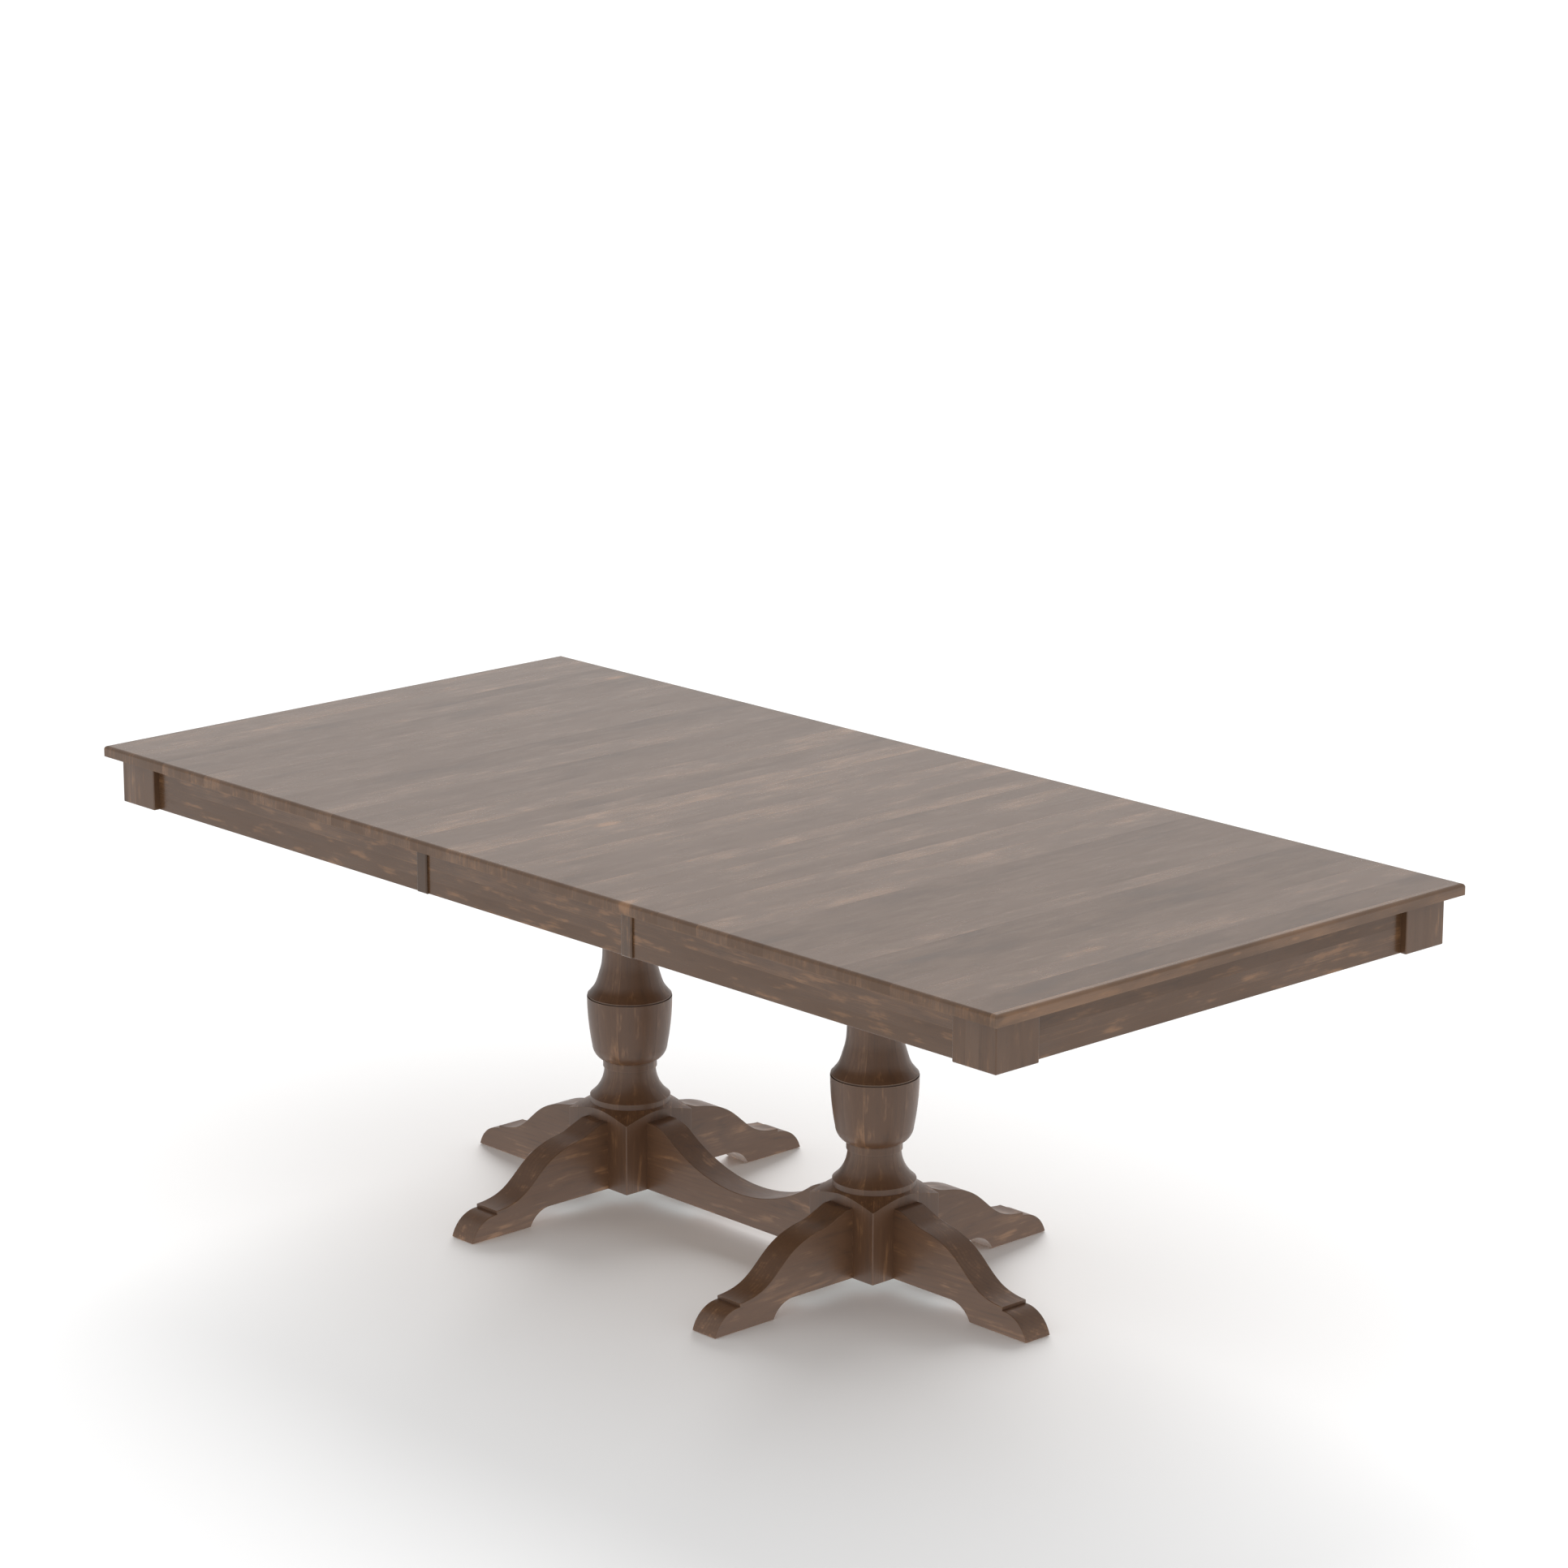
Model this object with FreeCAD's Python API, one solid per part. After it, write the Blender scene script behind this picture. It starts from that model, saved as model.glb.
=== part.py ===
import FreeCAD, Part
import math
import os

# Rectangular extending dining table on two turned pedestals, with its leaf in place.
# Millimetres, +Z up, X along the table, origin on the floor under the middle of the top.

# Table top
table_length = 2235.0
table_width = 1070.0
table_height = 758.0
top_thickness = 19.5
top_edge_round = 6.2
leaf_length = 508.0
seam_gap = 0.3

# Apron frame under the top
overhang = 23.0
block_side = 92.0
block_round = 2.0
apron_setback = 12.5
apron_height = 82.5
apron_thickness = 19.0
apron_edge_round = 1.0
batten_width = 25.4
batten_lap = 8.0
batten_thickness = 4.5
batten_edge_round = 2.8
batten_clearance = 0.3
glue_block_leg = 22.0
glue_block_length = 70.0

# Pedestals: the two axes stand on X
pedestal_spacing = 621.0
post_side = 153.7
post_underside = 29.3
post_edge_round = 1.6
shoulder_corner_drop = 17.3
shoulder_hollow = 1.0
base_ring_height = 172.8
base_ring_thickness = 9.9
base_ring_radius = 71.0
cove_height = 50.3
cove_hollow = 6.4
neck_radius = 45.4
neck_step_height = 2.0
bead_thickness = 12.8
bead_radius = 47.6
urn_curve_height = 27.2
urn_curve_radius = 66.5
urn_curve_bulge = 4.6
urn_belly_height = 88.6
urn_radius = 75.1
urn_belly_bulge = 2.1
groove_height = 2.6
groove_depth = 2.2
collar_height = 1.6
collar_radius = 74.2
collar_bulge = 0.5
flare_foot_radius = 73.2
flare_foot_slope = 0.72
flare_height = 13.4
flare_radius = 62.8
waist_height = 21.6
waist_radius = 54.6
throat_height = 54.0
throat_radius = 47.3
shaft_top_radius = 52.0
shaft_hollow = 2.5
upper_bead_thickness = 10.0
upper_bead_radius = 56.5
upper_bead_bulge = 2.5
capital_cove_height = 26.0
capital_radius = 68.0
capital_cove_hollow = 4.0
capital_height = 16.8

# Feet and stretcher, planks on edge that meet the posts
foot_reach = 386.5
foot_thickness = 55.7
foot_edge_round = 1.2
foot_shoulder_height = 152.0
foot_shoulder_length = 13.0
foot_shoulder_round = 25.0
foot_brow_length = 45.2
foot_brow_drop = 18.0
foot_crease_slope = 8.5
foot_crease_round = 90.0
foot_crest_fullness = 0.61
toe_top_height = 48.0
toe_top_slope = 2.0
toe_top_fullness = 0.49
toe_step = 6.0
toe_length = 56.0
toe_bulge = 12.0
toe_pad_length = 130.5
heel_radius = 49.0
stretcher_shoulder_length = 9.5
stretcher_crest_radius = 75.6
stretcher_waist_height = 81.0

# Fixings of the pedestals
dowel_radius = 5.0
dowel_length = 50.0
dowel_from_underside = 35.7
dowel_from_shoulder = 34.0
fit_clearance = 0.05
plate_thickness = 3.0
plate_arm_width = 40.0
plate_from_heel = 32.0
plate_screw_radius = 2.5
plate_screw_length = 28.0
plate_screw_inset = 24.0
plate_post_screw_offset = 42.0
glide_radius = 14.0
glide_thickness = 3.0
glide_recess = 1.5
glide_nail_radius = 1.5
glide_nail_length = 14.0

# Bearers on the columns and the wooden slide
bearer_overrun = 43.0
bearer_width = 90.0
bearer_thickness = 30.0
bearer_end_round = 12.0
lag_offset = 24.0
lag_radius = 4.0
lag_length = 78.0
lag_head_radius = 7.0
lag_head_height = 5.5
lag_recess_radius = 11.0
lag_recess_depth = 7.0
rail_spacing = 420.0
rail_overrun = 44.5
rail_width = 34.0
rail_height = 42.0
key_height = 8.0
key_width = 16.0
slide_clearance = 0.3
runner_width = 24.0
runner_length = 700.0
runner_inner_end = 60.0
runner_side_gap = 0.5
runner_underside_gap = 0.5
runner_relief = 0.5
rail_top_gap = 2.5
runner_screw_radius = 2.2
runner_screw_length = 34.0
runner_screw_bite = 11.0
runner_screw_count = 4
rail_screw_radius = 2.5
rail_screw_length = 55.0
rail_screw_pitch = 50.0

# Equaliser: two racks on one pinion
gear_module = 3.0
pinion_teeth = 20
pressure_angle = 20.0
gear_backlash = 0.3
gear_face = 10.0
gear_pad_clearance = 0.3
gear_height_over_rail_foot = 8.0
rack_back = 10.0
opening_travel = 60.0
rack_spare = 22.0
rack_screw_radius = 2.0
rack_screw_pitch = 24.0
rack_screw_length = 26.0
rack_block_length = 44.0
rack_block_width = 34.0
rack_block_from_seam = 34.0
axle_radius = 5.0
axle_clearance = 0.05
axle_head_radius = 9.0
axle_head_height = 3.5
bridge_width = 60.0
bridge_thickness = 24.0
rack_guide_thickness = 10.0

# Leaf alignment
pin_radius = 4.75
pin_length = 40.0
pin_reach = 14.0
pin_from_edge = 115.0
pin_from_middle = 140.0
pin_clearance = 0.3
cleat_width = 40.0
cleat_height = 16.0
cleat_end_gap = 13.5
cleat_end_round = 5.0
cleat_spacing = 250.0
cleat_screw_radius = 2.0
cleat_screw_length = 26.0
cleat_screw_inset = 35.0

# Places that follow from the sizes above
half_length = table_length / 2
half_width = table_width / 2
seam_x = leaf_length / 2
top_underside = table_height - top_thickness
apron_underside = top_underside - apron_height
block_face_x = half_length - overhang
block_face_y = half_width - overhang
apron_face_x = block_face_x - apron_setback
apron_face_y = block_face_y - apron_setback
pedestal_x = pedestal_spacing / 2
foot_underside = glide_thickness - glide_recess
rail_y = rail_spacing / 2
rail_top = top_underside - rail_top_gap
rail_foot = rail_top - rail_height
bearer_foot = rail_foot - bearer_thickness
key_middle = rail_foot + rail_height / 2
runner_underside = rail_foot + runner_underside_gap
gear_low = rail_foot + gear_height_over_rail_foot
gear_high = gear_low + gear_face
pitch_radius = gear_module * pinion_teeth / 2
rack_root = pitch_radius + 1.25 * gear_module
rack_outer = rack_root + rack_back
rack_bolt_line = rack_root + rack_back / 2
pin_height = top_underside + top_thickness / 2
pin_places = [row * y for row in (-1, 1) for y in (pin_from_middle, half_width - pin_from_edge)]
dowel_heights = (post_underside + dowel_from_underside, foot_shoulder_height - dowel_from_shoulder)
heel_x = foot_reach - toe_pad_length
heel_rise = post_underside - foot_underside
heel_start_x = heel_x - math.sqrt(heel_radius ** 2 - (heel_radius - heel_rise) ** 2)
plate_arm_reach = heel_start_x - plate_from_heel
rail_length = pedestal_spacing + bearer_width + 2 * rail_overrun
bearer_length = rail_spacing + rail_width + 2 * bearer_overrun
inner_runner_face = rail_y - rail_width / 2 - runner_side_gap - runner_width
cleat_half_length = inner_runner_face - cleat_end_gap

X = FreeCAD.Vector(1, 0, 0)
Y = FreeCAD.Vector(0, 1, 0)
Z = FreeCAD.Vector(0, 0, 1)


def vector(x, y, z):
    return FreeCAD.Vector(x, y, z)


def box(xs, ys, zs):
    low = [min(pair) for pair in (xs, ys, zs)]
    high = [max(pair) for pair in (xs, ys, zs)]
    return Part.makeBox(high[0] - low[0], high[1] - low[1], high[2] - low[2], vector(*low))


def cylinder(radius, foot, direction, length):
    return Part.makeCylinder(radius, length, foot, direction)


def line(start, end):
    return Part.LineSegment(start, end).toShape()


def bowed(start, end, bulge, side):
    """Arc from start to end that stands bulge off its chord, towards side."""
    chord = end - start
    across = side - chord * (side.dot(chord) / chord.dot(chord))
    across.normalize()
    return Part.Arc(start, (start + end) / 2 + across * bulge, end).toShape()


def solid_between(edges, sweep):
    return Part.Face(Part.Wire(edges)).extrude(sweep)


def rounded(shape, radius, wanted):
    """The shape with a small round on each straight or curved edge that wanted() picks."""
    edges = [edge for edge in shape.Edges if wanted(edge.BoundBox)]
    return shape.makeFillet(radius, edges)


def lies_at(bounds, axis, value):
    low, high = {"x": (bounds.XMin, bounds.XMax), "y": (bounds.YMin, bounds.YMax),
                 "z": (bounds.ZMin, bounds.ZMax)}[axis]
    return abs(low - value) < 0.01 and abs(high - value) < 0.01


def placed(shape, point, direction):
    turned = shape.copy()
    turned.Placement = FreeCAD.Placement(point, FreeCAD.Rotation(Z, direction))
    return turned


def wood_screw(radius, length, grow=0.0):
    """Countersunk screw with its head's flat at the origin and its point up +Z."""
    head_radius = 2 * radius
    head = Part.makeCone(head_radius + grow, radius + grow, radius)
    shank = cylinder(radius + grow, vector(0, 0, radius), Z, length - 3 * radius)
    point = Part.makeCone(radius + grow, 0.4 * radius, 2 * radius, vector(0, 0, length - 2 * radius))
    return head.fuse([shank, point]).removeSplitter()


def screws(seats, direction, radius, length):
    """The screws at these seats, and the holes that take them."""
    bodies = [placed(wood_screw(radius, length), seat, direction) for seat in seats]
    holes = [placed(wood_screw(radius, length, fit_clearance), seat, direction) for seat in seats]
    return bodies, holes


def drilled(shape, holes):
    return shape.cut(holes) if holes else shape


def column_profile():
    """Half outline of the turned column, from the base ring up to the flat under its bearer."""
    edges = []
    at = vector(0, 0, base_ring_height)

    def to(radius, rise, hollow=0.0):
        nonlocal at
        end = vector(radius, 0, at.z + rise)
        if hollow:
            edges.append(bowed(at, end, abs(hollow), X if hollow > 0 else -X))
        else:
            edges.append(line(at, end))
        at = end

    to(base_ring_radius, 0)
    to(base_ring_radius, base_ring_thickness)
    to(neck_radius, cove_height, -cove_hollow)
    to(neck_radius, neck_step_height)
    to(bead_radius, 0)
    to(bead_radius, bead_thickness)
    to(urn_curve_radius, urn_curve_height, urn_curve_bulge)
    to(urn_radius, urn_belly_height, urn_belly_bulge)
    to(urn_radius - groove_depth, 0)
    to(urn_radius - groove_depth, groove_height)
    to(collar_radius, 0)
    to(flare_foot_radius, collar_height, collar_bulge)
    flare = vector(flare_radius, 0, at.z + flare_height)
    waist = vector(waist_radius, 0, flare.z + waist_height)
    throat = vector(throat_radius, 0, waist.z + throat_height)
    sweep = Part.BSplineCurve()
    sweep.interpolate(Points=[at, flare, waist, throat], InitialTangent=vector(-flare_foot_slope, 0, 1),
                      FinalTangent=Z)
    edges.append(sweep.toShape())
    at = throat
    shaft_top = bearer_foot - capital_height - capital_cove_height - upper_bead_thickness
    to(shaft_top_radius, shaft_top - at.z, -shaft_hollow)
    to(upper_bead_radius, 0)
    to(upper_bead_radius, upper_bead_thickness, upper_bead_bulge)
    to(shaft_top_radius, 0)
    to(capital_radius, capital_cove_height, -capital_cove_hollow)
    to(capital_radius, capital_height)
    to(0, 0)
    edges.append(line(at, vector(0, 0, base_ring_height)))
    return edges


def turned(edges):
    return Part.Face(Part.Wire(edges)).revolve(vector(0, 0, 0), Z, 360)


def column():
    """One column on the Z axis: a square post below, turned above."""
    corner_radius = post_side / math.sqrt(2)
    half = post_side / 2
    post = box((-half, half), (-half, half), (post_underside, base_ring_height))
    upright = lambda bounds: bounds.ZLength > bounds.XLength + bounds.YLength
    post = rounded(post, post_edge_round, upright)
    rim = vector(base_ring_radius, 0, base_ring_height)
    corner = vector(corner_radius, 0, base_ring_height - shoulder_corner_drop)
    foot = vector(corner_radius, 0, post_underside)
    low_middle = vector(0, 0, post_underside)
    high_middle = vector(0, 0, base_ring_height)
    envelope = turned([
        line(low_middle, foot),
        line(foot, corner),
        bowed(corner, rim, shoulder_hollow, -X),
        line(rim, high_middle),
        line(high_middle, low_middle),
    ])
    return post.common(envelope).fuse(turned(column_profile())).removeSplitter()


def foot_outline():
    """Side of one foot in the XZ plane, reaching out along +X from the column's axis."""
    face = post_side / 2
    toe = foot_reach
    step = toe - toe_length
    turn_angle = math.acos((heel_radius - heel_rise) / heel_radius)
    heel_middle = vector(
        heel_start_x + heel_radius * math.sin(turn_angle / 2), 0,
        post_underside - heel_radius * (1 - math.cos(turn_angle / 2)))
    brow = face + foot_shoulder_length
    fall = math.atan2(foot_brow_drop, foot_brow_length)
    easing = foot_shoulder_round * math.tan(fall / 2)
    brow_start = vector(brow - easing, 0, foot_shoulder_height)
    brow_end = vector(brow + easing * math.cos(fall), 0, foot_shoulder_height - easing * math.sin(fall))
    brow_middle = vector(
        brow_start.x + foot_shoulder_round * math.sin(fall / 2), 0,
        foot_shoulder_height - foot_shoulder_round * (1 - math.cos(fall / 2)))
    crease = vector(brow + foot_brow_length, 0, foot_shoulder_height - foot_brow_drop)
    leave = math.radians(foot_crease_slope)
    outward = vector(math.cos(leave), 0, -math.sin(leave))
    crease_easing = foot_crease_round * math.tan((fall - leave) / 2)
    crease_start = crease - vector(math.cos(fall), 0, -math.sin(fall)) * crease_easing
    crease_end = crease + outward * crease_easing
    half_turn = (fall + leave) / 2
    crease_lift = foot_crease_round * (1 / math.cos((fall - leave) / 2) - 1)
    crease_middle = crease + vector(math.sin(half_turn), 0, math.cos(half_turn)) * crease_lift
    step_top = vector(step, 0, toe_top_height)
    step_foot = vector(step, 0, toe_top_height - toe_step)
    run = step - crease.x
    arrive = math.radians(toe_top_slope)
    sweep = Part.BezierCurve()
    sweep.setPoles([
        crease_end,
        crease + outward * (foot_crest_fullness * run),
        step_top - vector(math.cos(arrive), 0, -math.sin(arrive)) * (toe_top_fullness * run),
        step_top,
    ])
    bend = Part.Arc(crease_start, crease_middle, crease_end).toShape()
    back = Part.BSplineCurve()
    back.approximate(Points=bend.discretize(Number=9)[:-1] + [sweep.value(n / 40) for n in range(41)],
                     DegMin=3, DegMax=3, Tolerance=0.1)
    toe_tip = vector(toe, 0, foot_underside)
    heel_tip = vector(heel_x, 0, foot_underside)
    return [
        line(vector(face, 0, post_underside), vector(face, 0, foot_shoulder_height)),
        line(vector(face, 0, foot_shoulder_height), brow_start),
        Part.Arc(brow_start, brow_middle, brow_end).toShape(),
        line(brow_end, crease_start),
        back.toShape(),
        line(step_top, step_foot),
        bowed(step_foot, toe_tip, toe_bulge, X),
        line(toe_tip, heel_tip),
        Part.Arc(heel_tip, heel_middle, vector(heel_start_x, 0, post_underside)).toShape(),
        line(vector(heel_start_x, 0, post_underside), vector(face, 0, post_underside)),
    ]


def plank(outline):
    """A plank on edge: the outline in XZ, with foot_thickness centred on Y."""
    solid = solid_between(outline, Y * foot_thickness)
    solid.translate(Y * (-foot_thickness / 2))
    return solid


def foot():
    """One foot along +X, eased along the edges of its top, with its glide's recess below."""
    solid = plank(foot_outline())
    step = foot_reach - toe_length

    def top_edge(bounds):
        on_side = lies_at(bounds, "y", foot_thickness / 2) or lies_at(bounds, "y", -foot_thickness / 2)
        over_step = bounds.XMax < step + 0.01 and bounds.ZMin > toe_top_height - 0.01
        toe = bounds.XMin > step - 0.01 and bounds.XLength > 0.01 and bounds.ZLength > 0.01
        return on_side and (over_step and bounds.XLength > 0.01 or toe)

    solid = rounded(solid, foot_edge_round, top_edge)
    return solid.cut(glide(fit_clearance))


def glide(grow=0.0):
    """Round glide under a foot along +X, with its nail."""
    middle = foot_reach - toe_pad_length / 2
    disc = cylinder(glide_radius + grow, vector(middle, 0, 0), Z, glide_thickness)
    nail = cylinder(glide_nail_radius + grow, vector(middle, 0, glide_thickness), Z, glide_nail_length)
    return disc.fuse(nail).removeSplitter()


def stretcher():
    """Plank between the posts, its top edge one hollow curve between two round shoulders."""
    end = pedestal_x - post_side / 2
    crest = end - stretcher_shoulder_length
    drop = foot_shoulder_height - stretcher_waist_height
    both_radii = (drop ** 2 + crest ** 2) / (2 * drop)
    lean = math.asin(crest / both_radii)

    def crest_points(side):
        angles = (0, lean / 2, lean)
        return [vector(side * (crest - stretcher_crest_radius * math.sin(angle)), 0,
                       foot_shoulder_height - stretcher_crest_radius * (1 - math.cos(angle)))
                for angle in angles]

    left, right = crest_points(-1), crest_points(1)
    waist = vector(0, 0, stretcher_waist_height)
    left_foot = vector(-end, 0, post_underside)
    left_top = vector(-end, 0, foot_shoulder_height)
    right_foot = vector(end, 0, post_underside)
    right_top = vector(end, 0, foot_shoulder_height)
    solid = plank([
        line(left_foot, left_top),
        line(left_top, left[0]),
        Part.Arc(*left).toShape(),
        Part.Arc(left[2], waist, right[2]).toShape(),
        Part.Arc(*reversed(right)).toShape(),
        line(right[0], right_top),
        line(right_top, right_foot),
        line(right_foot, left_foot),
    ])

    def top_edge(bounds):
        on_side = lies_at(bounds, "y", foot_thickness / 2) or lies_at(bounds, "y", -foot_thickness / 2)
        return on_side and bounds.ZMin > stretcher_waist_height - 0.01 and bounds.XLength > 0.01

    return rounded(solid, foot_edge_round, top_edge)


def arm_directions(side):
    """Ways the three feet of a pedestal point, by name; side is -1 for the left pedestal."""
    return {"front": -Y, "back": Y, "end": X * side}


def at_pedestal(shape, side, direction):
    """A shape modelled along +X from the Z axis, turned to a direction at one pedestal."""
    turn = math.degrees(math.atan2(direction.y, direction.x))
    copy = shape.copy()
    copy.rotate(vector(0, 0, 0), Z, turn)
    copy.translate(X * (side * pedestal_x))
    return copy


def joint_dowels(grow=0.0):
    """The two dowels across one joint between a post face and a plank along +X."""
    start = post_side / 2 - dowel_length / 2
    return [cylinder(dowel_radius + grow, vector(start - grow, 0, height), X, dowel_length + 2 * grow)
            for height in dowel_heights]


def plate(holes):
    """Steel cross plate under a post, on the Z axis."""
    low = post_underside - plate_thickness
    half = plate_arm_width / 2
    along = box((-plate_arm_reach, plate_arm_reach), (-half, half), (low, post_underside))
    across = box((-half, half), (-plate_arm_reach, plate_arm_reach), (low, post_underside))
    middle = plate_post_screw_offset + half / 2
    square = box((-middle, middle), (-middle, middle), (low, post_underside))
    upright = lambda bounds: bounds.ZLength > bounds.XLength + bounds.YLength
    shape = along.fuse([across, square]).removeSplitter()
    outer = [edge for edge in shape.Edges if upright(edge.BoundBox)
             and max(abs(edge.BoundBox.XMin), abs(edge.BoundBox.YMin)) > plate_arm_reach - 0.01]
    return drilled(shape.makeFillet(half / 2, outer), holes)


def plate_screw_seats():
    low = post_underside - plate_thickness
    seats = []
    for reach in (post_side / 2 + plate_screw_inset, plate_arm_reach - plate_screw_inset):
        for turn in range(4):
            angle = math.radians(90 * turn)
            seats.append(vector(reach * math.cos(angle), reach * math.sin(angle), low))
    for x in (-plate_post_screw_offset, plate_post_screw_offset):
        for y in (-plate_post_screw_offset, plate_post_screw_offset):
            seats.append(vector(x, y, low))
    return seats


def lag_screw(grow=0.0):
    """Hexagon lag screw with the underside of its head at the origin, point down -Z."""
    shank = cylinder(lag_radius + grow, vector(0, 0, 0), -Z, lag_length)
    corners = [vector(lag_head_radius * math.cos(math.radians(60 * k)),
                      lag_head_radius * math.sin(math.radians(60 * k)), 0) for k in range(7)]
    head = Part.Face(Part.makePolygon(corners)).extrude(Z * lag_head_height)
    return shank.fuse(head).removeSplitter()


def lag_seats():
    height = rail_foot - lag_recess_depth
    return [vector(x, y, height) for x in (-lag_offset, lag_offset) for y in (-lag_offset, lag_offset)]


def lag_holes():
    holes = []
    for seat in lag_seats():
        holes.append(cylinder(lag_radius + fit_clearance, seat, -Z, lag_length + fit_clearance))
        holes.append(cylinder(lag_recess_radius, seat, Z, lag_recess_depth))
    return holes


def bearer(side, holes):
    """Cross bearer on one column, screwed down into it."""
    middle = side * pedestal_x
    shape = box((middle - bearer_width / 2, middle + bearer_width / 2),
                (-bearer_length / 2, bearer_length / 2), (bearer_foot, rail_foot))
    lower_end = lambda b: lies_at(b, "z", bearer_foot) and (
        lies_at(b, "y", bearer_length / 2) or lies_at(b, "y", -bearer_length / 2))
    return drilled(rounded(shape, bearer_end_round, lower_end), holes)


def slide_key(row, face):
    """Hardwood key in one side of a fixed rail; face is the side's way along Y."""
    side = row * rail_y + face * rail_width / 2
    return box((-rail_length / 2, rail_length / 2), (side - key_width / 2, side + key_width / 2),
               (key_middle - key_height / 2, key_middle + key_height / 2))


def fixed_rail(row, holes):
    shape = box((-rail_length / 2, rail_length / 2),
                (row * rail_y - rail_width / 2, row * rail_y + rail_width / 2), (rail_foot, rail_top))
    keys = [slide_key(row, face) for face in (-1, 1)]
    return drilled(shape, keys + holes)


def rail_screw_seats():
    """Screws up through the bearers and the gear bridge into the fixed rails."""
    places = []
    for row in (-1, 1):
        for side in (-1, 1):
            for step in (-0.5, 0.5):
                places.append((side * pedestal_x + step * rail_screw_pitch, row * rail_y, bearer_foot))
        for step in (-0.5, 0.5):
            places.append((step * rail_screw_pitch / 2, row * rail_y, rail_foot - bridge_thickness))
    return [vector(*place) for place in places]


def gear_bridge(holes):
    """Cross bar under the rails that carries the pinion and guides the backs of the racks."""
    reach = rail_y + rail_width / 2
    half = bridge_width / 2
    pad_top = gear_low - gear_pad_clearance
    guide_face = rack_outer + slide_clearance
    guide_back = guide_face + rack_guide_thickness
    bar = box((-half, half), (-reach, reach), (rail_foot - bridge_thickness, rail_foot))
    pad = box((-half, half), (-guide_back, guide_back), (rail_foot, pad_top))
    guide_top = gear_high - gear_pad_clearance
    guides = [box((-half, half), (row * guide_face, row * guide_back), (pad_top, guide_top))
              for row in (-1, 1)]
    shape = bar.fuse([pad] + guides).removeSplitter()
    bore = cylinder(axle_radius + fit_clearance, vector(0, 0, rail_foot - bridge_thickness), Z, table_height)
    return drilled(shape, [bore] + holes)


def pinion_axle():
    foot = rail_foot - bridge_thickness
    head_z = gear_high + gear_pad_clearance
    shank = cylinder(axle_radius, vector(0, 0, foot), Z, head_z - foot)
    head = cylinder(axle_head_radius, vector(0, 0, head_z), Z, axle_head_height)
    return shank.fuse(head).removeSplitter()


def involute_angle(radius, base_radius):
    slope = math.acos(min(1.0, base_radius / radius))
    return math.tan(slope) - slope


def pinion():
    """Spur pinion with involute teeth; one tooth points along +Y and one along -Y."""
    base = pitch_radius * math.cos(math.radians(pressure_angle))
    tip = pitch_radius + gear_module
    root = pitch_radius - 1.25 * gear_module
    start = max(base, root)
    half_tooth = math.pi / (2 * pinion_teeth) - gear_backlash / (4 * pitch_radius)
    half_tooth += involute_angle(pitch_radius, base)

    def polar(radius, angle):
        return vector(radius * math.cos(angle), radius * math.sin(angle), gear_low)

    def flank(radius, middle, sign):
        return polar(radius, middle + sign * (half_tooth - involute_angle(radius, base)))

    edges = []
    pitch_angle = 2 * math.pi / pinion_teeth
    for tooth in range(pinion_teeth):
        middle = math.pi / 2 + tooth * pitch_angle
        radii = (start, (start + tip) / 2, tip)
        rising = [flank(radius, middle, -1) for radius in radii]
        falling = [flank(radius, middle, 1) for radius in reversed(radii)]
        root_in = polar(root, middle - half_tooth)
        root_out = polar(root, middle + half_tooth)
        next_root = polar(root, middle + pitch_angle - half_tooth)
        edges.append(line(root_in, rising[0]))
        edges.append(Part.Arc(*rising).toShape())
        edges.append(Part.Arc(rising[2], polar(tip, middle), falling[0]).toShape())
        edges.append(Part.Arc(*falling).toShape())
        edges.append(line(falling[2], root_out))
        edges.append(Part.Arc(root_out, polar(root, middle + pitch_angle / 2), next_root).toShape())
    gear = solid_between(edges, Z * gear_face)
    return gear.cut(cylinder(axle_radius + axle_clearance, vector(0, 0, gear_low), Z, gear_face))


def rack():
    """Rack of the left half: teeth towards -Y on the pinion's +Y side, a gap at X = 0."""
    pitch = math.pi * gear_module
    slope = math.tan(math.radians(pressure_angle))
    half_tooth = pitch / 4 - gear_backlash / 4
    tip = pitch_radius - gear_module
    tip_half = half_tooth - gear_module * slope
    root_half = half_tooth + 1.25 * gear_module * slope
    end = opening_travel + rack_spare
    mount_end = -(seam_x + rack_block_from_seam + rack_block_length)
    first = math.ceil(-(seam_x + rack_spare) / pitch)
    last = math.floor((end - root_half) / pitch - 0.5)
    points = [vector(mount_end, rack_outer, gear_low), vector(mount_end, rack_root, gear_low)]
    for tooth in range(first, last + 1):
        middle = (tooth + 0.5) * pitch
        for offset, y in ((-root_half, rack_root), (-tip_half, tip), (tip_half, tip), (root_half, rack_root)):
            points.append(vector(middle + offset, y, gear_low))
    points.append(vector(end, rack_root, gear_low))
    points.append(vector(end, rack_outer, gear_low))
    points.append(points[0])
    return Part.Face(Part.makePolygon(points)).extrude(Z * gear_face)


def rack_block_middle():
    return -(seam_x + rack_block_from_seam + rack_block_length / 2)


def rack_block():
    """Wooden block that hangs the left half's rack under its top."""
    middle = rack_block_middle()
    return box((middle - rack_block_length / 2, middle + rack_block_length / 2),
               (rack_bolt_line - rack_block_width / 2, rack_bolt_line + rack_block_width / 2),
               (gear_high, top_underside))


def rack_screw_seats():
    return [vector(rack_block_middle() + step * rack_screw_pitch, rack_bolt_line, gear_low)
            for step in (-0.5, 0.5)]


def for_side(shape, side):
    """A shape of the left half, turned half round the pinion for the right half."""
    if side < 0:
        return shape
    copy = shape.copy()
    copy.rotate(vector(0, 0, 0), Z, 180)
    return copy


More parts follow.
